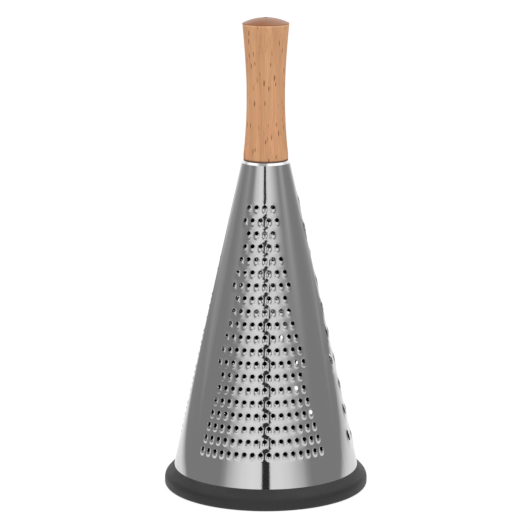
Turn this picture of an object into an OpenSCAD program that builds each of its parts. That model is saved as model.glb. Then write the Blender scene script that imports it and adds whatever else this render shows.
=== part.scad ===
/* [Grating cone] */
// Height of the cone's upper edge above the table
cone_top = 206.3; // [195:0.1:220]
// Outer radius of the cone where its straight wall would meet that height
cone_top_r = 14.6; // [13.5:0.1:17]
// Outer radius of the cone at the upper edge of the base ring
cone_base_r = 57.8; // [54:0.1:62]
// Thickness of the steel sheet
sheet = 0.5; // [0.4:0.05:0.7]
// Radius of the turned-in upper edge
shoulder_r = 1; // [0.8:0.1:2]
// Radius of the opening inside the turned-in edge
top_hole_r = 10.5; // [9:0.1:11]
// Width of the lapped seam at the back
seam_w = 6; // [4:0.5:10]

/* [Medium teeth at the front] */
// Distance from hole to hole in a row
medium_pitch = 5; // [4.6:0.1:5.4]
// Distance from row to row down the cone
medium_row_pitch = 7.95; // [7.4:0.05:8.6]
// Width of a hole
medium_hole_w = 2; // [1.6:0.1:2.4]
// Height of a tooth's lip above the wall
medium_rise = 0.75; // [0.6:0.05:1]
// Length of a tooth's ramp below the middle of its hole
medium_ramp = 4.4; // [3.6:0.1:4.8]

/* [Coarse teeth on the right] */
// Distance from hole to hole in a row
coarse_pitch = 13.4; // [12:0.1:15]
// Distance from row to row down the cone
coarse_row_pitch = 16.9; // [16:0.05:19]
// Width of a hole
coarse_hole_w = 5; // [4.4:0.1:6]
// Height of a tooth's lip above the wall
coarse_rise = 1.4; // [1:0.1:2]
// Length of a tooth's ramp below the middle of its hole
coarse_ramp = 8; // [7:0.1:10]

/* [Fine teeth on the left] */
// Distance from point to point in a row
fine_pitch = 4.5; // [4:0.1:5]
// Distance from row to row down the cone
fine_row_pitch = 5.5; // [5:0.1:6]
// Width of a point at its foot
fine_w = 2.2; // [1.6:0.1:2.8]
// Height of a point above the wall
fine_rise = 0.6; // [0.4:0.05:0.9]

/* [Layout of the three zones] */
// Distance along the wall from the cone's upper edge to the first rows
first_row = 26.9; // [24:0.1:32]
// How far the middle of each zone lies to the left of its third of the wall
zone_shift = 3.2; // [0:0.1:5]
// Radius of the bow of the rows in the flat sheet
row_bow = 250; // [200:1:400]
// Width of the fine zone at its first row
zone_top_w = 20; // [16:0.5:24]
// Width of the fine zone at its last row
zone_base_w = 74; // [66:1:90]

/* [Handle] */
// Length of the handle from its foot to the top of its crown
handle_length = 87.8; // [70:0.1:105]
// Radius of the handle at its foot
handle_foot_r = 13.75; // [12.5:0.05:14]
// Radius of the handle at its waist
handle_waist_r = 11.8; // [10.5:0.1:12.5]
// Radius of the handle at its crown
handle_crown_r = 14.35; // [12.6:0.05:16]
// Height of the straight band at the foot
foot_band = 3.8; // [2:0.1:6]
// Radius of the dome on the crown
crown_dome_r = 30; // [24:1:60]
// Rounding of the crown's rim
crown_edge = 0.9; // [0.6:0.1:2.5]

/* [Base ring] */
// Height of the ring's upper lip above the table
ring_h = 12.6; // [11:0.1:15]
// How far the ring stands out from the steel
ring_overhang = 5.9; // [4.6:0.1:8]
// Slope of the ring's upper face, in degrees
ring_slope = 47; // [35:1:50]
// Rounding from the upper face to the widest part
ring_shoulder_r = 6.3; // [4:0.1:7]
// Rounding of the ring's lower edge
ring_edge = 2.1; // [0.8:0.1:2.6]
// Width of the ring's upper lip
outer_lip = 0.4; // [0.3:0.1:1]
// Height of the steel's lower edge above the table, on the floor of the groove
groove_floor = 2.4; // [1.6:0.1:4]
// Thickness of the lip inside the cone
inner_lip = 2.2; // [1.6:0.1:3]
// Height of the inner lip above the table
inner_lip_h = 9.5; // [7:0.1:12]
// Clearance between the steel and the groove that holds it
groove_gap = 0.25; // [0.25:0.05:0.5]

/* [Fixing] */
// Diameter of the screw's shank
screw_d = 4; // [3:0.5:5]
// Length of the screw in the wood
screw_bite = 26; // [16:1:34]
// Diameter of the screw's head
head_d = 8; // [6:0.5:9]
// Height of the screw's head
head_h = 2.6; // [2:0.1:3]
// Outer diameter of the washer
washer_d = 12; // [10:0.5:13]
// Thickness of the washer
washer_h = 1; // [0.8:0.1:1.5]
// Thickness of the pressed plate under the turned-in edge
plate_h = 1.2; // [0.8:0.1:2]
// Width of the cross slot in the screw's head
slot_w = 1.1; // [0.8:0.1:1.4]

/* [Hidden] */
$fn = 96;
overrun = 1;
side_gap = 0.1;
screw_gap = 0.05;
wall_sides = 36;
curve_steps = 10;
edge_steps = 5;
shoulder_steps = 2;
cone_slope = (cone_base_r - cone_top_r) / (cone_top - ring_h);
cone_angle = atan(cone_slope);
sheet_inset = sheet / cos(cone_angle);
apex_z = cone_top + cone_top_r / cone_slope;
first_slant = cone_top_r / sin(cone_angle) + first_row;
last_slant = cone_r(ring_h) / sin(cone_angle);
shoulder_z = cone_top - shoulder_r;
shoulder_centre_r = cone_r(shoulder_z) - shoulder_r / cos(cone_angle);
handle_top = cone_top + handle_length;
crown_tilt = asin((handle_crown_r - crown_edge) / (crown_dome_r - crown_edge));
crown_z = handle_top - crown_dome_r + (crown_dome_r - crown_edge) * cos(crown_tilt);
waist_low_share = 0.42;
waist_high_share = 0.5;
foot_curve = 1.8;
crown_curve = 1.5;
ring_r = cone_base_r + ring_overhang;
ring_lip_r = cone_base_r + groove_gap + outer_lip;
ring_normal = 90 - ring_slope;
ring_shoulder_centre_r = ring_r - ring_shoulder_r;
ring_shoulder_z = ring_h - ring_shoulder_r * sin(ring_normal)
    - (ring_shoulder_centre_r + ring_shoulder_r * cos(ring_normal) - ring_lip_r) * tan(ring_slope);
spigot_r = top_hole_r - side_gap;
plate_top = cone_top - sheet;
plate_z = plate_top - plate_h;
plate_r = shoulder_centre_r - side_gap;
washer_z = plate_z - washer_h;
screw_hole_d = screw_d + 2 * screw_gap;
screw_tip = plate_top + screw_bite;
front_turn = 0;
right_turn = 120;
left_turn = -120;
medium_counts = [4, 5, 4, 5, 6, 7, 8, 7, 8, 9, 10, 11, 12, 11, 12, 13, 14, 15, 16, 17];
coarse_counts = [2, 3, 2, 3, 4, 5, 6, 5, 6, 7];
fine_last = floor((last_slant - first_slant - fine_w) / fine_row_pitch);
medium_foot_shares = [[0, 0.95], [0.9, 0], [0, -1], [-0.9, 0]];
coarse_foot_shares = [[0.5, 0.7], [0.85, -0.3], [0, -1], [-0.85, -0.3], [-0.5, 0.7]];
tip_share = 1.8;
medium_corners = 4;
coarse_corners = 6;

// Outer radius of the cone's wall at a height
function cone_r(z) = cone_base_r - (z - ring_h) * cone_slope;

// Points of an arc from one angle to another
function arc(centre, r, from, to, steps = edge_steps) =
    [for (k = [0:steps]) let (a = from + (to - from) * k / steps) centre + r * [cos(a), sin(a)]];

// Number of points in a row of the fine zone, one more and one less in turn
function fine_count(row) =
    let (zone_w = zone_top_w + (zone_base_w - zone_top_w) * row / fine_last)
    2 * floor(zone_w / fine_pitch / 2) + row % 2;

// The wall and its turned-in edge as a solid, up to a depth below its outer face
module wall_solid(depth, low, high) {
    rotate_extrude($fn = wall_sides)
        polygon(concat(
            [[0, high], [0, low], [cone_r(low) - depth / cos(cone_angle), low]],
            arc([shoulder_centre_r, shoulder_z], shoulder_r - depth, cone_angle, 90, shoulder_steps),
            [[top_hole_r, cone_top - depth], [top_hole_r, high]]
        ));
}

// A strip along the wall at the back, where the rolled sheet laps over itself
module lapped_seam() {
    intersection() {
        rotate_extrude($fn = wall_sides)
            polygon([[0, ring_h + groove_gap], [cone_r(ring_h + groove_gap) + sheet_inset, ring_h + groove_gap],
                [cone_r(shoulder_z) + sheet_inset, shoulder_z], [0, shoulder_z]]);
        translate([-seam_w / 2, 0, 0])
            cube([seam_w, cone_base_r + sheet_inset + overrun, cone_top]);
    }
}

// Puts a tooth on the wall, from its place across and down the flat sheet
module on_wall(zone_turn, across, down) {
    bow = across / row_bow * 180 / PI;
    x = row_bow * sin(bow) - zone_shift;
    y = row_bow * cos(bow) - row_bow + down;
    slant = norm([x, y]);
    rotate([0, 0, zone_turn + atan2(x, y) / sin(cone_angle)])
        translate([0, -slant * sin(cone_angle), apex_z - slant * cos(cone_angle)])
            rotate([90 - cone_angle, 0, 0])
                children();
}

// One zone of teeth, as many rows as the wall has room for
module zone(zone_turn, pitch, row_pitch, ramp, counts) {
    for (row = [0:len(counts) - 1])
        let (down = first_slant + row * row_pitch)
            if (down + ramp < last_slant)
                for (k = [0:counts[row] - 1])
                    on_wall(zone_turn, (k - (counts[row] - 1) / 2) * pitch, down)
                        children();
}

module medium_zone() {
    zone(front_turn, medium_pitch, medium_row_pitch, medium_ramp, medium_counts)
        children();
}

module coarse_zone() {
    zone(right_turn, coarse_pitch, coarse_row_pitch, coarse_ramp, coarse_counts)
        children();
}

module fine_zone() {
    zone(left_turn, fine_pitch, fine_row_pitch, fine_w, [for (row = [0:fine_last]) fine_count(row)])
        children();
}

// Outline of a tooth's foot on the wall, round behind the hole and drawn out to the ramp below it
function foot(shares, hole_w, ramp) =
    [for (share = shares) [share.x * hole_w, share.y * (share.x == 0 && share.y < 0 ? ramp : hole_w)]];

// The wall is pushed out to a lip round the hole, which falls away down the ramp
module tooth(shares, hole_w, rise, ramp) {
    tip = rise * tip_share;
    sink = rise + sheet;
    hull() {
        translate([0, 0, -sink])
            linear_extrude(height = sheet)
                scale(1 + sink / tip)
                    polygon(foot(shares, hole_w, ramp));
        cylinder(d1 = hole_w / 2, d2 = 0, h = tip, $fn = 4);
    }
}

// A hole right through a tooth and the wall under it
module tooth_hole(hole_w, rise, corners) {
    translate([0, 0, -rise - sheet])
        linear_extrude(height = rise * tip_share + rise + sheet)
            circle(d = hole_w, $fn = corners);
}

// A small burr that stands out of the wall
module fine_point() {
    translate([0, 0, -sheet / 2])
        cylinder(d1 = fine_w, d2 = 0, h = fine_rise + sheet / 2, $fn = 3);
}

module grater_cone() {
    color("silver")
        difference() {
            union() {
                wall_solid(0, groove_floor, cone_top);
                lapped_seam();
                medium_zone()
                    tooth(medium_foot_shares, medium_hole_w, medium_rise, medium_ramp);
                coarse_zone()
                    tooth(coarse_foot_shares, coarse_hole_w, coarse_rise, coarse_ramp);
                fine_zone()
                    fine_point();
            }
            wall_solid(sheet, groove_floor - overrun, cone_top + overrun);
            medium_zone()
                tooth_hole(medium_hole_w, medium_rise, medium_corners);
            coarse_zone()
                tooth_hole(coarse_hole_w, coarse_rise, coarse_corners);
        }
}

// The turned side from the foot's straight band, through the waist, up to the crown
function handle_side() =
    let (low = cone_top + foot_band,
         waist_low = cone_top + handle_length * waist_low_share,
         waist_high = cone_top + handle_length * waist_high_share)
    concat(
        [for (k = [curve_steps:-1:1]) let (t = k / curve_steps)
            [handle_waist_r + (handle_foot_r - handle_waist_r) * pow(t, foot_curve), waist_low - (waist_low - low) * t]],
        [for (k = [0:curve_steps]) let (t = k / curve_steps)
            [handle_waist_r + (handle_crown_r - handle_waist_r) * pow(t, crown_curve), waist_high + (crown_z - waist_high) * t]]
    );

module handle() {
    color("burlywood")
        difference() {
            rotate_extrude()
                polygon(concat(
                    [[0, plate_top], [spigot_r, plate_top], [spigot_r, cone_top], [handle_foot_r, cone_top]],
                    handle_side(),
                    arc([handle_crown_r - crown_edge, crown_z], crown_edge, 0, 90 - crown_tilt),
                    arc([0, handle_top - crown_dome_r], crown_dome_r, 90 - crown_tilt, 90)
                ));
            translate([0, 0, plate_top - overrun])
                cylinder(d = screw_hole_d, h = screw_bite + overrun);
        }
}

// The ring's section holds the steel's lower edge in a sloping groove
module base_ring() {
    color("dimgray")
        rotate_extrude()
            polygon(concat(
                [[cone_r(0) - sheet_inset - groove_gap - inner_lip, 0]],
                arc([ring_r - ring_edge, ring_edge], ring_edge, -90, 0),
                arc([ring_shoulder_centre_r, ring_shoulder_z], ring_shoulder_r, 0, ring_normal),
                [
                    [ring_lip_r, ring_h],
                    [cone_r(ring_h) + groove_gap, ring_h],
                    [cone_r(groove_floor) + groove_gap, groove_floor],
                    [cone_r(groove_floor) - sheet_inset - groove_gap, groove_floor],
                    [cone_r(inner_lip_h) - sheet_inset - groove_gap, inner_lip_h],
                    [cone_r(inner_lip_h) - sheet_inset - groove_gap - inner_lip, inner_lip_h]
                ]
            ));
}

// A pressed disc that pulls the turned-in edge up against the handle
module retaining_plate() {
    color("lightgray")
        difference() {
            rotate_extrude()
                polygon([[0, plate_z], [plate_r - plate_h / 2, plate_z], [plate_r, plate_z + plate_h / 2],
                    [plate_r, plate_top], [0, plate_top]]);
            translate([0, 0, plate_z - overrun])
                cylinder(d = screw_hole_d, h = plate_h + 2 * overrun);
        }
}

module washer() {
    color("gainsboro")
        translate([0, 0, washer_z])
            difference() {
                cylinder(d = washer_d, h = washer_h);
                translate([0, 0, -overrun])
                    cylinder(d = screw_hole_d, h = washer_h + 2 * overrun);
            }
}

// A pan-headed wood screw, driven up from inside the cone
module handle_screw() {
    head_r = head_d / 2;
    color("lightsteelblue")
        difference() {
            rotate_extrude()
                polygon(concat(
                    [[0, washer_z - head_h]],
                    [for (k = [1:edge_steps]) let (a = 90 * k / edge_steps)
                        [head_r * sin(a), washer_z - head_h * cos(a)]],
                    [[screw_d / 2, washer_z], [screw_d / 2, screw_tip - screw_d], [0, screw_tip]]
                ));
            for (turn = [0, 90])
                rotate([0, 0, turn])
                    translate([-head_d / 4, -slot_w / 2, washer_z - head_h - overrun])
                        cube([head_d / 2, slot_w, overrun + head_h / 2]);
        }
}

grater_cone();
handle();
base_ring();
retaining_plate();
washer();
handle_screw();
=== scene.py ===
import math

import bmesh
import bpy
import numpy as np
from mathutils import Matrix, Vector


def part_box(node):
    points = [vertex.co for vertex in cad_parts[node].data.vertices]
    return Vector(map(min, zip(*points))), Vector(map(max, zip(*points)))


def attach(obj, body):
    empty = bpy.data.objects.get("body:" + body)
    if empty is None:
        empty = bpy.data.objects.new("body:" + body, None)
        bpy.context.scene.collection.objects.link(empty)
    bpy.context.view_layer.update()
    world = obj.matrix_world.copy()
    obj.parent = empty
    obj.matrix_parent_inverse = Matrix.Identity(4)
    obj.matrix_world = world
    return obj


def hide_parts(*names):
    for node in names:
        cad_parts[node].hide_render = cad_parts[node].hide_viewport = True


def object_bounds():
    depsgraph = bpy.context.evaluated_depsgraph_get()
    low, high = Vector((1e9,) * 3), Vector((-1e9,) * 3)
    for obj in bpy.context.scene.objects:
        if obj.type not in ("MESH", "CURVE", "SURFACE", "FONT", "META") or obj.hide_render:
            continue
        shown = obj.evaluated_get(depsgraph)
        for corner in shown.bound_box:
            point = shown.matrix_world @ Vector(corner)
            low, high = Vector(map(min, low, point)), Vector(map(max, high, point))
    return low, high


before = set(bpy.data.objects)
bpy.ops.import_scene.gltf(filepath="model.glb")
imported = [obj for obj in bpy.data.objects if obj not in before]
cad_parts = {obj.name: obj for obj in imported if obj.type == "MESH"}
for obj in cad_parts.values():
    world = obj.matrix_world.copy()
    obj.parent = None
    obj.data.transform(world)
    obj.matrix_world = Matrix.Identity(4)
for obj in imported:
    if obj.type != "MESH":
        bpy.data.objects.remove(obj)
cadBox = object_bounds()
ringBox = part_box("base_ring")
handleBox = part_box("handle")
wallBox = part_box("grater_cone")
print("frame loaded,", len(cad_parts), "nodes")


# small helpers for modelling by hand

millimetre = 0.001


def deselectAll():
    if bpy.context.object and bpy.context.object.mode == "EDIT":
        bpy.ops.object.mode_set(mode="OBJECT")
    bpy.ops.object.select_all(action="DESELECT")


def pick(obj):  # makes obj the only selected object
    deselectAll()
    bpy.context.view_layer.objects.active = obj
    obj.select_set(True)


def newest(name):
    obj = bpy.context.object
    obj.name = name
    obj.data.name = name
    return obj


def editAll(obj, kind="VERT"):
    pick(obj)
    bpy.ops.object.mode_set(mode="EDIT")
    bpy.ops.mesh.select_mode(type=kind)
    bpy.ops.mesh.select_all(action="SELECT")


def leaveEdit():
    bpy.ops.object.mode_set(mode="OBJECT")


def points(obj):
    found = np.zeros(len(obj.data.vertices) * 3)
    obj.data.vertices.foreach_get("co", found)
    return found.reshape(-1, 3)


def setPoints(obj, found):
    obj.data.vertices.foreach_set("co", np.asarray(found).ravel())
    obj.data.update()


def joinAll(objs, name):
    deselectAll()
    for obj in objs:
        obj.select_set(True)
    bpy.context.view_layer.objects.active = objs[0]
    bpy.ops.object.join()
    return newest(name)


def copyOf(obj, name):
    twin = obj.copy()
    twin.data = obj.data.copy()
    twin.name = name
    bpy.context.collection.objects.link(twin)
    return twin


def applyModifier(obj, name):
    pick(obj)
    bpy.ops.object.modifier_apply(modifier=name)


def placeInMesh(obj):  # the object goes to the origin and its place into the mesh
    pick(obj)
    bpy.ops.object.transform_apply(location=True, rotation=True, scale=True)


def smoothStep(low, high, value):
    share = np.clip((value - low) / (high - low), 0, 1)
    return share * share * (3 - 2 * share)


# camera, as the photograph was taken

cameraSetup = dict(
    distance=1.52086, height=0.45567, tiltDown=11.73,
    sensor=36.0, lens=169.56, shiftX=-0.0006,
)


def addCamera(setup):
    deselectAll()
    bpy.ops.object.camera_add(location=(0, -setup["distance"], setup["height"]),
                              rotation=(math.radians(90 - setup["tiltDown"]), 0, 0))
    obj = bpy.context.object
    obj.name = "studioCamera"
    obj.data.sensor_width = setup["sensor"]
    obj.data.lens = setup["lens"]
    obj.data.shift_x = setup["shiftX"]
    bpy.context.scene.camera = obj


addCamera(cameraSetup)


# the rolled steel wall

wall = dict(
    topRadius=0.0146,  # where the straight wall would meet the top
    baseRadius=0.0578,  # at the ring's upper lip
    top=wallBox[1].z,
    ringTop=ringBox[1].z,
    foot=wallBox[0].z,
    sheet=0.0004,
    bendRadius=0.0005,  # where the wall bends in to the bevel below the wood
    bevelTilt=43,  # degrees from upright
    bevelRadius=0.0136,  # where the bevel ends, under the wood
    topHole=0.0105,
    edgeTurn=59.6,  # degrees from the middle of a third to its straight edge
    crease=35,  # degrees between faces, above which an edge stays sharp
)
wallSlope = (wall["baseRadius"] - wall["topRadius"]) / (wall["top"] - wall["ringTop"])
coneAngle = math.atan(wallSlope)
apexHeight = wall["top"] + wall["topRadius"] / wallSlope
topSlant = wall["topRadius"] / math.sin(coneAngle)
footSlant = (apexHeight - wall["foot"]) / math.cos(coneAngle)


toothForm = dict(
    flank=6, burr=1.3,  # powers that make a ramp's flanks steep and a burr's hollow
    lipFrom=-0.3, lipTo=0.9,  # where a ramp falls to its lip, in hole radii above the hole's middle
)


def rampTooth(dx, dy, spec):  # a scoop, highest at the hole's lower edge, that runs out down its ramp
    along = np.clip(-dy / spec["rampLength"], 0, 1)
    away = np.hypot(dx / spec["narrow"], dy + along * spec["rampLength"])
    flank = np.clip(1 - (away / spec["footWidth"]) ** toothForm["flank"], 0, None)
    body = spec["rise"] * (1 - spec["taper"] * along) * flank
    lipFrom, lipTo = toothForm["lipFrom"] * spec["holeRadius"], toothForm["lipTo"] * spec["holeRadius"]
    body *= 1 - (1 - spec["lip"]) * smoothStep(lipFrom, lipTo, dy)
    return body + spec["skirt"] * np.clip(1 - (away / spec["skirtWidth"]) ** 2, 0, None) ** 2


def fineTooth(dx, dy, spec):  # a burr pushed up all round a pin hole
    away = np.hypot(dx, dy)
    burr = spec["rise"] * (1 - smoothStep(spec["holeRadius"], spec["footWidth"], away)) ** toothForm["burr"]
    return burr + spec["swell"] * np.exp(-(away / spec["swellWidth"]) ** 2)


def rowsBetween(topWidth, baseWidth, pitch, rows):  # one more and one less in turn
    widths = [topWidth + (baseWidth - topWidth) * k / (rows - 1) for k in range(rows)]
    return [2 * int(width / pitch / 2) + k % 2 for k, width in enumerate(widths)]


# turn is a zone's place round the cone in degrees, shift its way aside from the middle of its third,
# rowBow the radius on which its rows bend, firstRow the way from the top down to them, narrow a hole's
# width for its height, centreDrop how far the middle of a cell lies below its hole, and rings the radius
# and the drop in millimetres of each ring of edges round a hole. Of a ramp's rise, taper is the share that
# it loses on its way down, and lip the share that is left above the hole.

mediumZone = dict(
    name="medium", turn=0, form=rampTooth, sides=16, rowBow=0.25, shift=-0.00316,
    pitch=0.005, rowPitch=0.007945, firstRow=0.0266,
    rowCounts=[4, 5, 4, 5, 6, 7, 8, 7, 8, 9, 10, 11, 12, 11, 12, 13, 14, 15, 16, 17],
    holeRadius=0.00138, narrow=1, centreDrop=0.0011,
    rings=[(1.43, 0.3), (1.49, 1.0), (1.55, 1.9), (1.62, 2.6), (1.85, 2.7)],
    rise=0.00052, rampLength=0.0026, footWidth=0.00166, taper=0.4, lip=0.12,
    skirt=0.00008, skirtWidth=0.0024,
)
coarseZone = dict(
    name="coarse", turn=120, form=rampTooth, sides=24, rowBow=0.12, shift=-0.0012,
    pitch=0.0134, rowPitch=0.01725, firstRow=0.0243,
    rowCounts=[2, 3, 2, 3, 4, 5, 6, 5, 6, 7],
    holeRadius=0.0035, narrow=0.78, centreDrop=0.0024,
    rings=[(3.65, 0.5), (3.85, 1.6), (4.05, 3.2), (4.25, 4.7), (4.7, 4.9)],
    rise=0.00065, rampLength=0.0048, footWidth=0.0043, taper=0.72, lip=0.2,
    skirt=0.00012, skirtWidth=0.006,
)
finePitch = 0.0038
fineZone = dict(
    name="fine", turn=-120, form=fineTooth, sides=8, rowBow=0.25, shift=-0.00316,
    pitch=finePitch, rowPitch=0.00397, firstRow=0.027,
    rowCounts=rowsBetween(topWidth=0.02, baseWidth=0.068, pitch=finePitch, rows=39),
    holeRadius=0.00042, narrow=1, centreDrop=0.0,
    rings=[(0.62, 0), (1.15, 0)],
    rise=0.00022, footWidth=0.00115, swell=0.00005, swellWidth=0.0016,
)
sheetwork = dict(
    overlap=1.04, spareCells=1.5,  # how far a zone reaches past its third before it is trimmed
    weld=0.00002, fineWeld=0.00001, cut=0.000001,  # points closer than this are one
    toothReach=2.2, cellShare=0.49,  # how far a tooth acts, in rows, and how much of its cell leans
    onEdge=0.01, onRim=0.000005,  # degrees and metres from the edge or the rim that a point belongs to
)


def ringPoint(angle, radius, drop, deepest):  # round above the hole, drawn out to a U below it
    x, y = radius * math.cos(angle), radius * math.sin(angle)
    if y >= 0 or not deepest:
        return x, y
    quarter = math.degrees(math.asin(min(1, -math.sin(angle))))
    if quarter <= 45:
        uPoint = math.copysign(radius, x), -drop * quarter / 45
    else:
        bend = math.radians(2 * quarter - 90)
        uPoint = math.copysign(radius * math.cos(bend), x), -drop - radius * math.sin(bend)
    share = min(1, drop / deepest)
    y -= drop * math.sin(angle) ** 2
    return x + (uPoint[0] - x) * share, y + (uPoint[1] - y) * share


def borderPoint(angle, spec):  # the ring's points go to evenly spaced points of the cell's border
    perSide = spec["sides"] // 4
    step = round((math.degrees(angle) - 45) / (360 / spec["sides"])) % spec["sides"]
    side, share = step // perSide, (step % perSide) / perSide
    x, y = [(0.5 - share, 0.5), (-0.5, 0.5 - share), (share - 0.5, -0.5), (0.5, share - 0.5)][side]
    return x * spec["pitch"], y * spec["rowPitch"] - spec["centreDrop"]


def punchedCell(spec):  # one hole and the flat sheet round it
    deselectAll()
    bpy.ops.mesh.primitive_circle_add(vertices=spec["sides"], radius=spec["holeRadius"],
                                      rotation=(0, 0, math.radians(45)))
    obj = newest(spec["name"] + "_cell")
    placeInMesh(obj)
    angles = [math.atan2(p.co.y, p.co.x) for p in obj.data.vertices]
    editAll(obj, "EDGE")
    for ring in range(len(spec["rings"]) + 1):
        bpy.ops.mesh.extrude_edges_move()
    leaveEdit()
    found = points(obj)
    count = spec["sides"]
    deepest = spec.get("rampLength", 0)
    for ring, (radius, drop) in enumerate(spec["rings"], 1):
        for k, angle in enumerate(angles):
            found[ring * count + k, :2] = ringPoint(angle, radius * millimetre, drop * millimetre, deepest)
    found[:, 0] *= spec["narrow"]
    for k, angle in enumerate(angles):
        found[(len(spec["rings"]) + 1) * count + k, :2] = borderPoint(angle, spec)
    setPoints(obj, found)
    return obj


def blankCell(spec):  # the same border with no hole
    perSide = spec["sides"] // 4
    deselectAll()
    bpy.ops.mesh.primitive_grid_add(x_subdivisions=perSide, y_subdivisions=perSide, size=1)
    obj = newest(spec["name"] + "_blank")
    obj.scale = (spec["pitch"], spec["rowPitch"], 1)
    obj.location.y = -spec["centreDrop"]
    placeInMesh(obj)
    return obj


def cellsInRow(cell, spec, count, across, down):
    row = copyOf(cell, cell.name + "_row")
    array = row.modifiers.new("row", "ARRAY")
    array.use_relative_offset = False
    array.use_constant_offset = True
    array.constant_offset_displace = (spec["pitch"], 0, 0)
    array.count = count
    array.use_merge_vertices = True
    array.merge_threshold = sheetwork["fineWeld"]
    applyModifier(row, "row")
    row.location = (across, -down, 0)
    return row


def flatZone(spec):  # a third of the sheet as it lies flat, with its rows of holes
    cell, blank = punchedCell(spec), blankCell(spec)
    pitch, rowPitch, firstSlant = spec["pitch"], spec["rowPitch"], topSlant + spec["firstRow"]
    rowsAbove = math.ceil((firstSlant - topSlant) / rowPitch) + 1
    rowsBelow = math.ceil((footSlant - firstSlant) / rowPitch) + 2
    rows, centres = [], []
    for line in range(-rowsAbove, rowsBelow):
        down = firstSlant + line * rowPitch
        third = down * math.sin(coneAngle) * math.pi / 3 * sheetwork["overlap"]
        reach = third + abs(spec["shift"]) + sheetwork["spareCells"] * pitch
        holes = spec["rowCounts"][line] if 0 <= line < len(spec["rowCounts"]) else line % 2
        blanks = max(1, math.ceil((reach - holes * pitch / 2) / pitch))
        left = -(holes - 1) / 2 * pitch
        if 0 <= line < len(spec["rowCounts"]):
            rows.append(cellsInRow(cell, spec, holes, left, down))
            rows.append(cellsInRow(blank, spec, blanks, left - blanks * pitch, down))
            rows.append(cellsInRow(blank, spec, blanks, left + holes * pitch, down))
            centres += [(left + k * pitch, -down) for k in range(holes)]
        else:
            rows.append(cellsInRow(blank, spec, holes + 2 * blanks, left - blanks * pitch, down))
    zone = joinAll(rows, spec["name"] + "_zone")
    placeInMesh(zone)
    editAll(zone)
    bpy.ops.mesh.remove_doubles(threshold=sheetwork["weld"])
    leaveEdit()
    for obj in (cell, blank):
        bpy.data.objects.remove(obj)
    return zone, centres


def pressTeeth(zone, centres, spec):  # pushes the sheet out at each hole, its ramp away from the cone's tip
    found = points(zone)
    flat = found.copy()
    reach = sheetwork["toothReach"] * spec["rowPitch"]
    halfWidth, halfHeight = spec["pitch"] * sheetwork["cellShare"], spec["rowPitch"] * sheetwork["cellShare"]
    for x, y in centres:
        dx, dy = flat[:, 0] - x, flat[:, 1] - y
        near = np.nonzero((np.abs(dx) < reach) & (np.abs(dy) < reach))[0]
        found[near, 2] += spec["form"](dx[near], dy[near], spec)
        middle = dy[near] + spec["centreDrop"]
        own = near[(np.abs(dx[near]) < halfWidth) & (np.abs(middle) < halfHeight)]
        found[own, 0] += dy[own] * (x + spec["shift"]) / y
    setPoints(zone, found)


def onRing(turn, radius, height):  # points round the axis, turned from the front
    return np.stack([radius * np.sin(turn), -radius * np.cos(turn), np.broadcast_to(height, turn.shape)], 1)


def rollZone(zone, spec):  # wraps the flat third onto the cone
    found = points(zone)
    bow = found[:, 0] / spec["rowBow"]
    x = spec["shift"] + spec["rowBow"] * np.sin(bow)
    y = -found[:, 1] - spec["rowBow"] * (1 - np.cos(bow))
    slant = np.hypot(x, y)
    turn = math.radians(spec["turn"]) + np.arctan2(x, y) / math.sin(coneAngle)
    radius = slant * math.sin(coneAngle) + found[:, 2] * math.cos(coneAngle)
    height = apexHeight - slant * math.cos(coneAngle) + found[:, 2] * math.sin(coneAngle)
    setPoints(zone, onRing(turn, radius, height))


def cutAt(obj, place, outward):  # cuts away what lies beyond a plane
    editAll(obj)
    bpy.ops.mesh.bisect(plane_co=place, plane_no=outward, clear_outer=True,
                        threshold=sheetwork["cut"])
    leaveEdit()


def wallRadius(height):
    return wall["baseRadius"] - (height - wall["ringTop"]) * wallSlope


bevelAngle = math.radians(wall["bevelTilt"])
bevelDrop = (wall["topRadius"] - wall["bevelRadius"]) / (math.tan(bevelAngle) - wallSlope)
bendLength = wall["bendRadius"] * math.tan((bevelAngle - coneAngle) / 2)
bendStart = wall["top"] - bevelDrop - bendLength * math.cos(coneAngle)


def trimZone(zone, spec):
    for side in (-1, 1):
        edge = math.radians(spec["turn"] + side * wall["edgeTurn"])
        cutAt(zone, (0, 0, 0), (side * math.cos(edge), side * math.sin(edge), 0))
    cutAt(zone, (0, 0, bendStart), (0, 0, 1))
    cutAt(zone, (0, 0, wall["foot"]), (0, 0, -1))
    editAll(zone)
    bpy.ops.mesh.remove_doubles(threshold=sheetwork["fineWeld"])
    leaveEdit()


def selectVerts(obj, wanted):  # selects vertices, and edges between them
    mesh = obj.data
    mesh.polygons.foreach_set("select", np.zeros(len(mesh.polygons), bool))
    mesh.vertices.foreach_set("select", np.asarray(wanted, bool))
    ends = np.zeros(len(mesh.edges) * 2, int)
    mesh.edges.foreach_get("vertices", ends)
    ends = ends.reshape(-1, 2)
    mesh.edges.foreach_set("select", np.asarray(wanted, bool)[ends].all(1))


def zipZones(sheet):  # closes the gaps between the thirds, whose edge points don't pair up for a bridge
    form = bmesh.new()
    form.from_mesh(sheet.data)
    turns = {point: math.degrees(math.atan2(point.co.x, -point.co.y)) for point in form.verts}
    for joint in (60, 180, 300):
        chains = []
        for side in (-1, 1):
            edge = joint + side * (60 - wall["edgeTurn"])
            chain = [point for point, turn in turns.items()
                     if abs((turn - edge + 180) % 360 - 180) < sheetwork["onEdge"]]
            chains.append(sorted(chain, key=lambda point: point.co.z))
        first, second = chains
        firstEnd, secondEnd = len(first) - 1, len(second) - 1
        i = j = 0
        while i < firstEnd or j < secondEnd:
            if j == secondEnd or (i < firstEnd and first[i + 1].co.z < second[j + 1].co.z):
                form.faces.new((first[i], second[j], first[i + 1]))
                i += 1
            else:
                form.faces.new((first[i], second[j], second[j + 1]))
                j += 1
    form.to_mesh(sheet.data)
    form.free()


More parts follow.
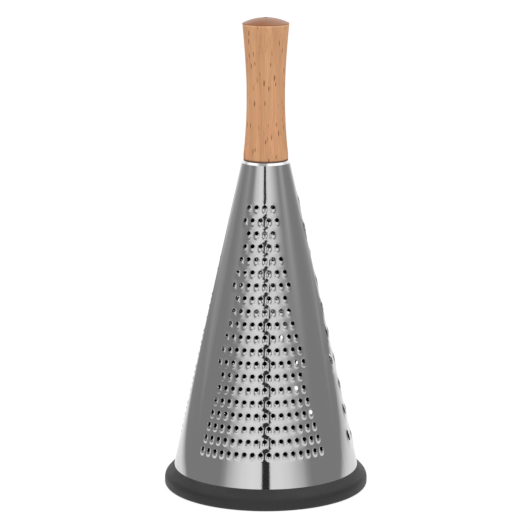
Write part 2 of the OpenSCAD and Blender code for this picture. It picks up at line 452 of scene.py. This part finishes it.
def makeWall():
    zones = []
    for spec in (mediumZone, coarseZone, fineZone):
        zone, centres = flatZone(spec)
        pressTeeth(zone, centres, spec)
        rollZone(zone, spec)
        trimZone(zone, spec)
        zones.append(zone)
        print("  ", spec["name"], len(centres), "teeth,", len(zone.data.polygons), "faces")
    sheet = joinAll(zones, "steel_wall")
    zipZones(sheet)
    turnShoulder(sheet)
    editAll(sheet)
    bpy.ops.mesh.normals_make_consistent(inside=False)
    leaveEdit()
    facing = sum((face.normal.x * face.center.x + face.normal.y * face.center.y) * face.area
                 for face in sheet.data.polygons)
    if facing < 0:
        editAll(sheet)
        bpy.ops.mesh.flip_normals()
        leaveEdit()
    solid = sheet.modifiers.new("sheet", "SOLIDIFY")
    solid.thickness = wall["sheet"]
    solid.offset = -1
    solid.use_rim = True
    applyModifier(sheet, "sheet")
    return sheet


seam = dict(
    width=0.006, overRing=0.0004, underBend=0.0006,  # its ends stay clear of the ring and the bend
    thicker=1.1, outward=0.6, edge=0.00012, columns=6,
)


def makeSeam(spec):  # the strip at the back where the rolled sheet laps over itself
    deselectAll()
    bpy.ops.mesh.primitive_grid_add(x_subdivisions=spec["columns"], y_subdivisions=1, size=1)
    obj = newest("lapped_seam")
    low, high = wall["ringTop"] + spec["overRing"], bendStart - spec["underBend"]
    found = points(obj)
    height = np.where(found[:, 1] < 0, low, high)
    radius = wallRadius(height)
    turn = math.pi - found[:, 0] * spec["width"] / radius
    setPoints(obj, onRing(turn, radius, height))
    solid = obj.modifiers.new("sheet", "SOLIDIFY")
    solid.thickness = wall["sheet"] * spec["thicker"]
    solid.offset = spec["outward"]
    applyModifier(obj, "sheet")
    edge = obj.modifiers.new("edge", "BEVEL")
    edge.width = spec["edge"]
    edge.segments = 2
    edge.limit_method = "ANGLE"
    applyModifier(obj, "edge")
    return obj


def shoulderProfile():  # radius and height of each ring from the bend to the opening in the top
    low = wallRadius(bendStart)
    centreRadius = low - wall["bendRadius"] * math.cos(coneAngle)
    centreHeight = bendStart - wall["bendRadius"] * math.sin(coneAngle)
    rings = []
    for share in (1 / 3, 2 / 3, 1):
        tilt = coneAngle + (bevelAngle - coneAngle) * share
        rings.append((centreRadius + wall["bendRadius"] * math.cos(tilt),
                      centreHeight + wall["bendRadius"] * math.sin(tilt)))
    return rings + [(wall["bevelRadius"], wall["top"]), (wall["topHole"], wall["top"])]


def turnShoulder(sheet):  # bends the upper edge in under the wood's foot
    found = points(sheet)
    rim = np.abs(found[:, 2] - found[:, 2].max()) < sheetwork["onRim"]
    turn = np.arctan2(found[rim, 0], -found[rim, 1])
    found[rim] = onRing(turn, wallRadius(bendStart), bendStart)
    setPoints(sheet, found)
    for radius, height in shoulderProfile():
        selectVerts(sheet, rim)
        pick(sheet)
        bpy.ops.object.mode_set(mode="EDIT")
        bpy.ops.mesh.select_mode(type="EDGE")
        bpy.ops.mesh.extrude_edges_move()
        leaveEdit()
        found = points(sheet)
        count = rim.sum()
        turn = np.arctan2(found[-count:, 0], -found[-count:, 1])
        found[-count:] = onRing(turn, radius, height)
        setPoints(sheet, found)
        rim = np.zeros(len(found), bool)
        rim[-count:] = True


steelWall = makeWall()
lappedSeam = makeSeam(seam)
print("steel wall,", len(steelWall.data.polygons), "faces")


# turned and moulded round pieces

def latheRings(name, rings, sides):  # rings are (radius, height) from the foot up
    deselectAll()
    bpy.ops.mesh.primitive_circle_add(vertices=sides, radius=rings[0][0], location=(0, 0, rings[0][1]))
    obj = newest(name)
    placeInMesh(obj)
    editAll(obj, "EDGE")
    for low, high in zip(rings, rings[1:]):
        bpy.ops.mesh.extrude_edges_move(TRANSFORM_OT_translate={"value": (0, 0, high[1] - low[1])})
        scale = high[0] / low[0]
        bpy.ops.transform.resize(value=(scale, scale, 1), center_override=(0, 0, 0))
    leaveEdit()
    return obj


handle = dict(
    foot=wallBox[1].z, top=handleBox[1].z,
    footRadius=0.01375, waistRadius=0.0118, crownRadius=0.01435, footBand=0.0038,
    domeRadius=0.0322, rimRadius=0.0003, footEdge=0.0003, cornerShare=0.3, footLift=0.00002,
    waistLow=0.42, waistHigh=0.5,  # shares of the length, with a straight waist between them
    footCurve=1.8, crownCurve=1.5,  # powers that draw the curves from the waist
    steps=14, rimSteps=6, domeSteps=9, sides=96, crease=40,
)


def makeHandle(spec):
    length = spec["top"] - spec["foot"]
    tilt = math.asin((spec["crownRadius"] - spec["rimRadius"]) / (spec["domeRadius"] - spec["rimRadius"]))
    rimHeight = spec["top"] - spec["domeRadius"] + (spec["domeRadius"] - spec["rimRadius"]) * math.cos(tilt)
    low, waistLow = spec["foot"] + spec["footBand"], spec["foot"] + length * spec["waistLow"]
    waistHigh = spec["foot"] + length * spec["waistHigh"]
    edge, corner = spec["footEdge"], spec["footEdge"] * spec["cornerShare"]
    rings = [
        (spec["footRadius"] - edge, spec["foot"] + spec["footLift"]),
        (spec["footRadius"] - corner, spec["foot"] + corner),
        (spec["footRadius"], spec["foot"] + edge),
    ]
    for k in range(spec["steps"], -1, -1):
        share = k / spec["steps"]
        bulge = (spec["footRadius"] - spec["waistRadius"]) * share ** spec["footCurve"]
        rings.append((spec["waistRadius"] + bulge, waistLow - (waistLow - low) * share))
    for k in range(spec["steps"] + 1):
        share = k / spec["steps"]
        bulge = (spec["crownRadius"] - spec["waistRadius"]) * share ** spec["crownCurve"]
        rings.append((spec["waistRadius"] + bulge, waistHigh + (rimHeight - waistHigh) * share))
    for k in range(1, spec["rimSteps"] + 1):
        angle = (math.pi / 2 - tilt) * k / spec["rimSteps"]
        rings.append((spec["crownRadius"] - spec["rimRadius"] * (1 - math.cos(angle)),
                      rimHeight + spec["rimRadius"] * math.sin(angle)))
    for k in range(1, spec["domeSteps"]):
        angle = tilt * (1 - k / spec["domeSteps"])
        rings.append((spec["domeRadius"] * math.sin(angle),
                      spec["top"] - spec["domeRadius"] * (1 - math.cos(angle))))
    obj = latheRings("wooden_handle", rings, spec["sides"])
    editAll(obj, "EDGE")
    bpy.ops.mesh.select_all(action="DESELECT")
    bpy.ops.mesh.select_non_manifold()
    bpy.ops.mesh.fill()
    leaveEdit()
    return obj


woodenHandle = makeHandle(handle)

baseRing = dict(
    radius=ringBox[1].x, height=ringBox[1].z,
    edge=0.0021, shoulder=0.0063, slope=47,  # two radii and the degrees of the slope above them
    lip=0.0004, gap=0.00008, grooveFloor=wallBox[0].z, innerLip=0.0022, innerHeight=0.0095, soft=0.0002,
    edgeSteps=6, shoulderSteps=8, sides=144, crease=35,
)


def makeRing(spec):
    inset = wall["sheet"] / math.cos(coneAngle)
    lipRadius = wallRadius(spec["height"]) + spec["gap"] + spec["lip"]
    edgeRadius, shoulderRadius = spec["radius"] - spec["edge"], spec["radius"] - spec["shoulder"]
    normal = math.radians(90 - spec["slope"])
    slope = math.tan(math.radians(spec["slope"]))
    rise = (shoulderRadius + spec["shoulder"] * math.cos(normal) - lipRadius) * slope
    shoulder = spec["height"] - rise - spec["shoulder"] * math.sin(normal)
    inner = wallRadius(0) - inset - spec["gap"] - spec["innerLip"]
    rings = [(inner, 0.0), (edgeRadius, 0.0)]
    for k in range(1, spec["edgeSteps"] + 1):
        angle = -math.pi / 2 + math.pi / 2 * k / spec["edgeSteps"]
        rings.append((edgeRadius + spec["edge"] * math.cos(angle),
                      spec["edge"] + spec["edge"] * math.sin(angle)))
    for k in range(spec["shoulderSteps"] + 1):
        angle = normal * k / spec["shoulderSteps"]
        rings.append((shoulderRadius + spec["shoulder"] * math.cos(angle),
                      shoulder + spec["shoulder"] * math.sin(angle)))
    soft = spec["soft"]
    innerFace = wallRadius(spec["innerHeight"]) - inset - spec["gap"]
    rings += [
        (lipRadius + soft, spec["height"] - soft * slope),
        (lipRadius, spec["height"]),
        (wallRadius(spec["height"]) + spec["gap"], spec["height"]),
        (wallRadius(spec["grooveFloor"]) + spec["gap"], spec["grooveFloor"]),
        (wallRadius(spec["grooveFloor"]) - inset - spec["gap"], spec["grooveFloor"]),
        (innerFace, spec["innerHeight"] - soft),
        (innerFace - soft, spec["innerHeight"]),
        (innerFace - spec["innerLip"] + soft, spec["innerHeight"]),
        (innerFace - spec["innerLip"], spec["innerHeight"] - soft),
        (inner, 0.0),
    ]
    obj = latheRings("rubber_ring", rings, spec["sides"])
    editAll(obj)
    bpy.ops.mesh.remove_doubles(threshold=sheetwork["cut"])
    leaveEdit()
    return obj


rubberRing = makeRing(baseRing)
print("handle and ring made")


def shadeSoft(obj, spec):  # soft shading with crisp edges
    pick(obj)
    bpy.ops.object.shade_smooth_by_angle(angle=math.radians(spec["crease"]))


for piece, spec in ((woodenHandle, handle), (rubberRing, baseRing)):
    editAll(piece)
    bpy.ops.mesh.normals_make_consistent(inside=False)
    leaveEdit()
    shadeSoft(piece, spec)
for piece in (steelWall, lappedSeam):
    shadeSoft(piece, wall)
    even = piece.modifiers.new("even", "WEIGHTED_NORMAL")
    even.keep_sharp = True
    applyModifier(piece, "even")


# materials

def newMaterial(name):
    material = bpy.data.materials.new(name)
    material.use_nodes = True
    nodes, links = material.node_tree.nodes, material.node_tree.links
    return material, nodes, links, nodes["Principled BSDF"]


def addNode(nodes, kind, place=(0, 0), **values):
    node = nodes.new(kind)
    node.location = place
    for name, value in values.items():
        setattr(node, name, value)
    return node


def newGroup(name, inputs, outputs):  # an effect that several materials share
    group = bpy.data.node_groups.new(name, "ShaderNodeTree")
    for direction, sockets in (("INPUT", inputs), ("OUTPUT", outputs)):
        for label, kind in sockets:
            group.interface.new_socket(label, in_out=direction, socket_type="NodeSocket" + kind)
    start = addNode(group.nodes, "NodeGroupInput", (-900, 0))
    end = addNode(group.nodes, "NodeGroupOutput", (700, 0))
    return group, group.nodes, group.links, start, end


def useGroup(nodes, group, place, **values):
    node = addNode(nodes, "ShaderNodeGroup", place, node_tree=group)
    for name, value in values.items():
        node.inputs[name].default_value = value
    return node


def mathNode(nodes, links, operation, first, second=None, place=(0, 0)):
    node = addNode(nodes, "ShaderNodeMath", place, operation=operation)
    for slot, value in enumerate((first, second)):
        if value is None:
            continue
        if isinstance(value, (int, float)):
            node.inputs[slot].default_value = value
        else:
            links.new(value, node.inputs[slot])
    return node.outputs[0]


def rangeNode(nodes, links, value, source, target=(0, 1), place=(0, 0)):
    node = addNode(nodes, "ShaderNodeMapRange", place)
    for name, number in zip(("From Min", "From Max", "To Min", "To Max"), source + target):
        node.inputs[name].default_value = number
    links.new(value, node.inputs["Value"])
    return node.outputs["Result"]


def mixColors(nodes, links, share, first, second, place=(0, 0), blend="MIX"):
    node = addNode(nodes, "ShaderNodeMix", place, data_type="RGBA", blend_type=blend)
    for value, socket in ((share, node.inputs[0]), (first, node.inputs[6]), (second, node.inputs[7])):
        if isinstance(value, (int, float, tuple)):
            socket.default_value = value
        else:
            links.new(value, socket)
    return node.outputs[2]


def mixShaders(nodes, links, share, first, second, place):
    mix = addNode(nodes, "ShaderNodeMixShader", place)
    for value, socket in zip((share, first, second), mix.inputs):
        links.new(value, socket)
    return mix.outputs[0]


def addBump(nodes, links, height, shader, spec, place):  # fine relief on a surface
    bump = addNode(nodes, "ShaderNodeBump", place)
    bump.inputs["Strength"].default_value = spec["bump"]
    bump.inputs["Distance"].default_value = spec["bumpDepth"]
    links.new(height, bump.inputs["Height"])
    links.new(bump.outputs["Normal"], shader.inputs["Normal"])


def makeGrainGroup():  # noise drawn out along the object's height
    group, nodes, links, start, end = newGroup(
        "drawn_grain", [("Stretch", "Vector"), ("Scale", "Float"), ("Detail", "Float")], [("Value", "Float")])
    coords = addNode(nodes, "ShaderNodeTexCoord", (-900, 200))
    mapping = addNode(nodes, "ShaderNodeVectorMath", (-600, 100), operation="MULTIPLY")
    noise = addNode(nodes, "ShaderNodeTexNoise", (-300, 0))
    links.new(coords.outputs["Object"], mapping.inputs[0])
    links.new(start.outputs["Stretch"], mapping.inputs[1])
    links.new(mapping.outputs[0], noise.inputs["Vector"])
    links.new(start.outputs["Scale"], noise.inputs["Scale"])
    links.new(start.outputs["Detail"], noise.inputs["Detail"])
    links.new(noise.outputs["Fac"], end.inputs["Value"])
    return group


def makeHeightGroup():  # 0 at one height of the object and 1 at another
    group, nodes, links, start, end = newGroup(
        "height_share", [("From", "Float"), ("To", "Float")], [("Share", "Float")])
    coords = addNode(nodes, "ShaderNodeTexCoord", (-900, 200))
    split = addNode(nodes, "ShaderNodeSeparateXYZ", (-600, 200))
    share = addNode(nodes, "ShaderNodeMapRange", (-300, 0), interpolation_type="SMOOTHSTEP")
    links.new(coords.outputs["Object"], split.inputs[0])
    links.new(split.outputs["Z"], share.inputs["Value"])
    links.new(start.outputs["From"], share.inputs["From Min"])
    links.new(start.outputs["To"], share.inputs["From Max"])
    links.new(share.outputs["Result"], end.inputs["Share"])
    return group


grainGroup = makeGrainGroup()
heightGroup = makeHeightGroup()


steel = dict(
    color=(0.64, 0.64, 0.645, 1), dulled=0.985,  # the share of the colour that stays in the dull clouds
    polished=0.055, pressed=0.25,  # roughness
    rolled=dict(Stretch=(1, 1, 0.03), Scale=2600, Detail=3),
    clouds=dict(Stretch=(1, 1, 0.4), Scale=70, Detail=2),
    rolledRange=(0.3, 0.7), rolledShare=(0.85, 1.2),
    cloudRange=(0.35, 0.65), cloudShare=(0.9, 1.1),
    bump=0.02, bumpDepth=0.0002,
)


def steelMaterial(name, roughness, spec):
    material, nodes, links, shader = newMaterial(name)
    rolled = useGroup(nodes, grainGroup, (-700, 0), **spec["rolled"])
    clouds = useGroup(nodes, grainGroup, (-700, -250), **spec["clouds"])
    rolledShare = tuple(roughness * share for share in spec["rolledShare"])
    fine = rangeNode(nodes, links, rolled.outputs[0], spec["rolledRange"], rolledShare, (-450, 0))
    broad = rangeNode(nodes, links, clouds.outputs[0], spec["cloudRange"], spec["cloudShare"], (-450, -250))
    links.new(mathNode(nodes, links, "MULTIPLY", fine, broad, (-250, 0)), shader.inputs["Roughness"])
    dull = tuple(part * spec["dulled"] for part in spec["color"][:3]) + (1,)
    tint = mixColors(nodes, links, clouds.outputs[0], dull, spec["color"], (-250, 250))
    links.new(tint, shader.inputs["Base Color"])
    addBump(nodes, links, rolled.outputs[0], shader, spec, (-250, -300))
    shader.inputs["Metallic"].default_value = 1.0
    return material


wood = dict(
    light=(0.57, 0.298, 0.144, 1), dark=(0.46, 0.228, 0.104, 1), red=(0.57, 0.25, 0.12, 1),
    # edge is a painted highlight, pale wood just below the crown's rim; endGrain is the crown's darker end
    # grain
    fleck=(0.2, 0.072, 0.02, 1), endGrain=(0.22, 0.066, 0.012, 1), edge=(0.72, 0.47, 0.29, 1),
    # foot is a painted contact shadow: dark brown wood where the handle sits on the steel
    foot=(0.1, 0.045, 0.02, 1),
    bands=dict(Stretch=(1, 1, 0.05), Scale=210, Detail=4), bandRange=(0.32, 0.68),
    fibres=dict(Stretch=(1, 1, 0.02), Scale=1300, Detail=2), fibreRange=(0.35, 0.6), fibreShade=(0.86, 1.0),
    patches=dict(Stretch=(1, 1, 0.25), Scale=60, Detail=2), patchRange=(0.5, 0.7), patchRed=(0, 0.75),
    fleckSets=[(330, 0.27, 0.0), (470, 0.22, 0.37)],  # scale, stretch and offset of each
    fleckReach=0.21, fleckCore=0.6, fleckRange=(0.1, 0.6), fleckDepth=(0, 0.95),
    rim=0.0034,  # below the crown's top, and the next three bands are heights from there
    # edgeBand and edgeShare place the painted highlight below the rim
    edgeBand=(-0.0016, -0.0009), endGrainBand=(-0.0006, -0.0002), crownBand=(-0.0002, 0.0002),
    edgeShare=0.3, endGrainShare=0.95,
    footBand=(0.0016, 0.0007),  # heights above the foot, where the painted contact shadow fades in
    roughness=(0.55, 0.36),  # on the side and on the crown
    bump=0.12, bumpDepth=0.0002,
)


def heightBand(nodes, place, start, band):
    return useGroup(nodes, heightGroup, place, From=start + band[0], To=start + band[1]).outputs[0]


def addFlecks(nodes, links, color, spec):  # beech's short dark rays
    coords = addNode(nodes, "ShaderNodeTexCoord", (-1600, -400))
    spotRange = (spec["fleckReach"] * spec["fleckCore"], spec["fleckReach"])
    for k, (scale, stretch, offset) in enumerate(spec["fleckSets"]):
        level = -400 - 250 * k
        mapping = addNode(nodes, "ShaderNodeMapping", (-1400, level))
        mapping.inputs["Scale"].default_value = (1, 1, stretch)
        mapping.inputs["Location"].default_value = (offset, offset, offset)
        cells = addNode(nodes, "ShaderNodeTexVoronoi", (-1200, level))
        cells.inputs["Scale"].default_value = scale
        links.new(coords.outputs["Object"], mapping.inputs["Vector"])
        links.new(mapping.outputs["Vector"], cells.inputs["Vector"])
        spot = rangeNode(nodes, links, cells.outputs["Distance"], spotRange, (1, 0), (-1000, level))
        chance = addNode(nodes, "ShaderNodeSeparateXYZ", (-1000, level - 120))
        links.new(cells.outputs["Color"], chance.inputs[0])
        depth = rangeNode(nodes, links, chance.outputs[0], spec["fleckRange"], spec["fleckDepth"],
                          (-800, level - 120))
        mask = mathNode(nodes, links, "MULTIPLY", spot, depth, (-600, level))
        color = mixColors(nodes, links, mask, color, spec["fleck"], (-350 + 120 * k, 300))
    return color


def woodMaterial(spec):
    material, nodes, links, shader = newMaterial("turned_beech")
    bands = useGroup(nodes, grainGroup, (-1400, 300), **spec["bands"])
    fibres = useGroup(nodes, grainGroup, (-1400, 100), **spec["fibres"])
    patches = useGroup(nodes, grainGroup, (-1400, -100), **spec["patches"])
    tone = rangeNode(nodes, links, bands.outputs[0], spec["bandRange"], place=(-1150, 300))
    color = mixColors(nodes, links, tone, spec["dark"], spec["light"], (-950, 300))
    blush = rangeNode(nodes, links, patches.outputs[0], spec["patchRange"], spec["patchRed"], (-1150, -100))
    color = mixColors(nodes, links, blush, color, spec["red"], (-750, 300))
    thread = rangeNode(nodes, links, fibres.outputs[0], spec["fibreRange"], spec["fibreShade"], (-1150, 100))
    color = mixColors(nodes, links, 1.0, color, thread, (-550, 300), "MULTIPLY")
    color = addFlecks(nodes, links, color, spec)
    rim = handle["top"] - spec["rim"]
    # paints a pale highlight band just below the rim, then the crown's darker end grain above it
    for name in ("edge", "endGrain"):
        share = heightBand(nodes, (-500, -100), rim, spec[name + "Band"])
        part = mathNode(nodes, links, "MULTIPLY", share, spec[name + "Share"], (-300, -100))
        color = mixColors(nodes, links, part, color, spec[name], (0, 300))
    # painted contact shadow: the wood darkens towards its foot, where it meets the steel
    paintedContactShadow = heightBand(nodes, (-500, -300), handle["foot"], spec["footBand"])
    color = mixColors(nodes, links, paintedContactShadow, color, spec["foot"], (150, 300))
    links.new(color, shader.inputs["Base Color"])
    addBump(nodes, links, thread, shader, spec, (0, -300))
    crown = heightBand(nodes, (-500, -500), rim, spec["crownBand"])
    rough = rangeNode(nodes, links, crown, (0, 1), spec["roughness"], (0, -500))
    links.new(rough, shader.inputs["Roughness"])
    return material


rubber = dict(
    dark=(0.008, 0.008, 0.0085, 1), worn=(0.013, 0.013, 0.0135, 1),
    grain=dict(Stretch=(1, 1, 1), Scale=1500, Detail=2),
    scuffs=dict(Stretch=(1, 1, 3), Scale=90, Detail=3), scuffRange=(0.3, 0.7), roughness=(0.5, 0.62),
    bump=0.15, bumpDepth=0.0001,
)


def rubberMaterial(spec):
    material, nodes, links, shader = newMaterial("matt_rubber")
    grain = useGroup(nodes, grainGroup, (-700, 0), **spec["grain"])
    scuffs = useGroup(nodes, grainGroup, (-700, -250), **spec["scuffs"])
    color = mixColors(nodes, links, scuffs.outputs[0], spec["dark"], spec["worn"], (-300, 200))
    links.new(color, shader.inputs["Base Color"])
    rough = rangeNode(nodes, links, scuffs.outputs[0], spec["scuffRange"], spec["roughness"], (-300, -100))
    links.new(rough, shader.inputs["Roughness"])
    addBump(nodes, links, grain.outputs[0], shader, spec, (-300, -300))
    return material


def dress(obj, material, node):
    obj.data.materials.clear()
    obj.data.materials.append(material)
    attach(obj, "root")
    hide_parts(node)


polished = steelMaterial("polished_steel", steel["polished"], steel)
dress(steelWall, polished, "grater_cone")
dress(lappedSeam, polished, "grater_cone")
dress(woodenHandle, woodMaterial(wood), "handle")
dress(rubberRing, rubberMaterial(rubber), "base_ring")
pressed = steelMaterial("pressed_steel", steel["pressed"], steel)
for nodeName in ("retaining_plate", "washer", "handle_screw"):
    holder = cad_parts[nodeName]
    holder.data.materials.clear()
    holder.data.materials.append(pressed)
print("materials made")


# studio

studio = dict(
    floorSize=8, floorColor=(0.9, 0.9, 0.9, 1), floorRoughness=0.9,
    grey=0.285, white=0.95,  # brightness of the room and of the white paper in reflections
    paperLeft=(0.25, 0.04), paperRight=0.38,  # where the paper ends, at the left at the object and 1 m behind
    leftFade=(-0.06, 0.08), rightFade=(-0.22, 0.2),  # how far it fades beyond
    backFade=(0.9, 2.0),  # where the backdrop starts, behind the object
    sideFade=(0.3, 0.85), sideShare=(1, 0.15),  # it fades to the sides, by the way across for the way back
    nearest=0.1,  # shortest way back in that
    seenGlow=1.03, seenShare=0.9,  # the floor as the camera sees it
    darkShare=0.95,  # the share of the ring's radius inside which the floor is dark
)
room = dict(
    lowFade=(0.09, 0.2),  # upward parts of the direction, from the low bands to the high ones
    gapLeans=[(0.17, 0.19, 1.6), (0.238, 0.262, -5.6)],  # from, to, degrees: the front gap isn't upright
    overhead=(0.6, 1.7), overheadFade=(0.5, 0.7),  # in and beside a duller strip, left of the middle
    stripPlace=0.15, stripFade=(0.15, 0.32),
    # degrees round the object from the front, brightness
    low=[(-180, 1.0), (-167, 0.95), (-153, 0.78), (-142, 0.52), (-130, 0.38), (-116, 0.35), (-107, 0.285),
         (-60, 0.285), (-54, 0.38), (-48, 0.62), (-40, 0.8), (-30, 1.02), (-7, 1.1), (-5.6, 0.85),
         (-4.8, 0.035), (4.8, 0.035), (5.6, 0.85), (7, 1.1), (30, 1.02), (40, 0.8), (48, 0.62), (54, 0.38),
         (60, 0.285), (108, 0.285), (130, 0.32), (142, 0.48), (153, 0.9), (167, 1.1), (180, 1.1)],
    high=[(-180, 1.3), (-168, 1.3), (-156, 1.3), (-144, 1.2), (-132, 0.8), (-120, 0.39), (-96, 0.36),
          (-78, 0.45), (-66, 0.31), (-54, 0.3), (-46, 0.55), (-40, 0.76), (-18, 1.02), (-5.2, 0.9),
          (-4.4, 0.035), (4.4, 0.035), (5.2, 0.9), (18, 0.95), (30, 0.74), (36, 0.6), (46, 0.4), (54, 0.31),
          (72, 0.52), (90, 0.31), (120, 0.35), (132, 0.8), (144, 1.2), (156, 1.3), (180, 1.3)],
)
lamps = dict(
    size=1.0, aim=(0, 0, 0.15),
    places=[("key_lamp", (-1.9, -1.0, 1.2), 18), ("fill_lamp", (1.9, -0.9, 1.0), 15)],  # name, place, power
)


def paperLevel(nodes, links, across, back, spec):  # how bright the floor is in a reflection
    leftEdge = rangeNode(nodes, links, back, (0, 1), spec["paperLeft"], (-1400, -200))
    overLeft = mathNode(nodes, links, "ADD", across, leftEdge, (-1200, -200))
    nearLeft = rangeNode(nodes, links, overLeft, spec["leftFade"], place=(-1000, -200))
    rightFade = tuple(spec["paperRight"] + way for way in spec["rightFade"])
    nearRight = rangeNode(nodes, links, across, rightFade, (1, 0), (-1000, -400))
    near = mathNode(nodes, links, "MINIMUM", nearLeft, nearRight, (-800, -300))
    spread = mathNode(nodes, links, "DIVIDE", mathNode(nodes, links, "ABSOLUTE", across),
                      mathNode(nodes, links, "MAXIMUM", back, spec["nearest"]), (-1200, 0))
    side = rangeNode(nodes, links, spread, spec["sideFade"], spec["sideShare"], (-1000, 0))
    far = mathNode(nodes, links, "MULTIPLY", side, rangeNode(nodes, links, back, spec["backFade"]), (-800, 0))
    paper = mathNode(nodes, links, "MAXIMUM", near, far, (-650, -300))
    return rangeNode(nodes, links, paper, (0, 1), (spec["grey"], spec["white"]), (-500, -300))


def addStage(spec):
    deselectAll()
    bpy.ops.mesh.primitive_plane_add(size=spec["floorSize"], location=(0, 0, 0))
    floor = newest("studio_floor")
    material, nodes, links, shader = newMaterial("studio_white")
    shader.inputs["Base Color"].default_value = spec["floorColor"]
    shader.inputs["Roughness"].default_value = spec["floorRoughness"]
    shader.inputs["Specular IOR Level"].default_value = 0
    coords = addNode(nodes, "ShaderNodeTexCoord", (-1800, 0))
    split = addNode(nodes, "ShaderNodeSeparateXYZ", (-1600, 0))
    links.new(coords.outputs["Object"], split.inputs[0])
    level = paperLevel(nodes, links, split.outputs["X"], split.outputs["Y"], spec)
    distance = addNode(nodes, "ShaderNodeVectorMath", (-1200, 300), operation="LENGTH")
    links.new(coords.outputs["Object"], distance.inputs[0])
    darkRadius = cadBox[1].x * spec["darkShare"]
    outside = mathNode(nodes, links, "GREATER_THAN", distance.outputs["Value"], darkRadius, (-900, 300))
    mirrored = mathNode(nodes, links, "MULTIPLY", level, outside, (-300, -200))
    path = addNode(nodes, "ShaderNodeLightPath", (-500, 400))
    glowLevel = addNode(nodes, "ShaderNodeMix", (-100, -200))
    links.new(path.outputs["Is Camera Ray"], glowLevel.inputs[0])
    links.new(mirrored, glowLevel.inputs[2])
    seenLevel = mathNode(nodes, links, "MULTIPLY", outside, spec["seenGlow"], (-300, -400))
    links.new(seenLevel, glowLevel.inputs[3])
    glow = addNode(nodes, "ShaderNodeEmission", (100, -300))
    links.new(glowLevel.outputs[0], glow.inputs["Strength"])
    seen = mathNode(nodes, links, "MULTIPLY", path.outputs["Is Camera Ray"], spec["seenShare"], (-300, 500))
    part = mathNode(nodes, links, "MAXIMUM", seen, path.outputs["Is Glossy Ray"], (-100, 300))
    mixed = mixShaders(nodes, links, part, shader.outputs[0], glow.outputs[0], (300, 0))
    links.new(mixed, nodes["Material Output"].inputs["Surface"])
    floor.data.materials.append(material)


def bandRamp(nodes, bands, place):  # brightness by direction round the object
    ramp = addNode(nodes, "ShaderNodeValToRGB", place)
    elements = ramp.color_ramp.elements
    while len(elements) < len(bands):
        elements.new(0.5)
    for element, (degrees, level) in zip(elements, bands):
        element.position = degrees / 360 + 0.5
        element.color = (level, level, level, 1)
    return ramp


def addWorld(spec):
    world = bpy.data.worlds.new("studio_world")
    bpy.context.scene.world = world
    world.use_nodes = True
    nodes, links = world.node_tree.nodes, world.node_tree.links
    nodes.clear()
    coords = addNode(nodes, "ShaderNodeTexCoord", (-1200, 0))
    split = addNode(nodes, "ShaderNodeSeparateXYZ", (-1000, 0))
    links.new(coords.outputs["Generated"], split.inputs[0])
    across, upward = split.outputs["X"], split.outputs["Z"]
    front = mathNode(nodes, links, "MULTIPLY", split.outputs["Y"], -1.0, (-800, -100))
    turn = mathNode(nodes, links, "ARCTAN2", across, front, (-600, 0))
    share = mathNode(nodes, links, "DIVIDE", turn, 2 * math.pi, (-500, 0))
    for low, high, degrees in spec["gapLeans"]:
        lean = rangeNode(nodes, links, upward, (low, high), (0, -degrees / 360), (-500, 200))
        share = mathNode(nodes, links, "ADD", share, lean, (-450, 100))
    share = mathNode(nodes, links, "ADD", share, 0.5, (-400, 0))
    low, high = bandRamp(nodes, spec["low"], (-200, 200)), bandRamp(nodes, spec["high"], (-200, -100))
    links.new(share, low.inputs["Fac"])
    links.new(share, high.inputs["Fac"])
    tall = rangeNode(nodes, links, upward, spec["lowFade"], place=(-200, 450))
    color = mixColors(nodes, links, tall, low.outputs["Color"], high.outputs["Color"], (100, 100))
    aside = mathNode(nodes, links, "ADD", across, spec["stripPlace"], (-600, 850))
    aside = mathNode(nodes, links, "ABSOLUTE", aside, place=(-400, 850))
    roof = rangeNode(nodes, links, aside, spec["stripFade"], spec["overhead"], (-200, 850))
    overhead = rangeNode(nodes, links, upward, spec["overheadFade"], place=(-200, 650))
    color = mixColors(nodes, links, overhead, color, roof, (300, 100))
    mirrored = addNode(nodes, "ShaderNodeBackground", (500, 0))
    links.new(color, mirrored.inputs["Color"])
    white = addNode(nodes, "ShaderNodeBackground", (500, -200))
    white.inputs["Color"].default_value = (1, 1, 1, 1)
    path = addNode(nodes, "ShaderNodeLightPath", (500, 300))
    mixed = mixShaders(nodes, links, path.outputs["Is Camera Ray"], mirrored.outputs[0], white.outputs[0],
                       (750, 0))
    output = addNode(nodes, "ShaderNodeOutputWorld", (950, 0))
    links.new(mixed, output.inputs["Surface"])


def addLamp(name, place, power, spec):
    deselectAll()
    bpy.ops.object.light_add(type="AREA", location=place)
    lamp = bpy.context.object
    lamp.name = name
    lamp.data.size = spec["size"]
    lamp.data.energy = power
    lamp.visible_glossy = False
    aim = Vector(spec["aim"]) - lamp.location
    lamp.rotation_euler = aim.to_track_quat("-Z", "Y").to_euler()


addStage(studio)
addWorld(room)
for name, place, power in lamps["places"]:
    addLamp(name, place, power, lamps)

bpy.context.scene.view_settings.view_transform = "Standard"
print("studio set")
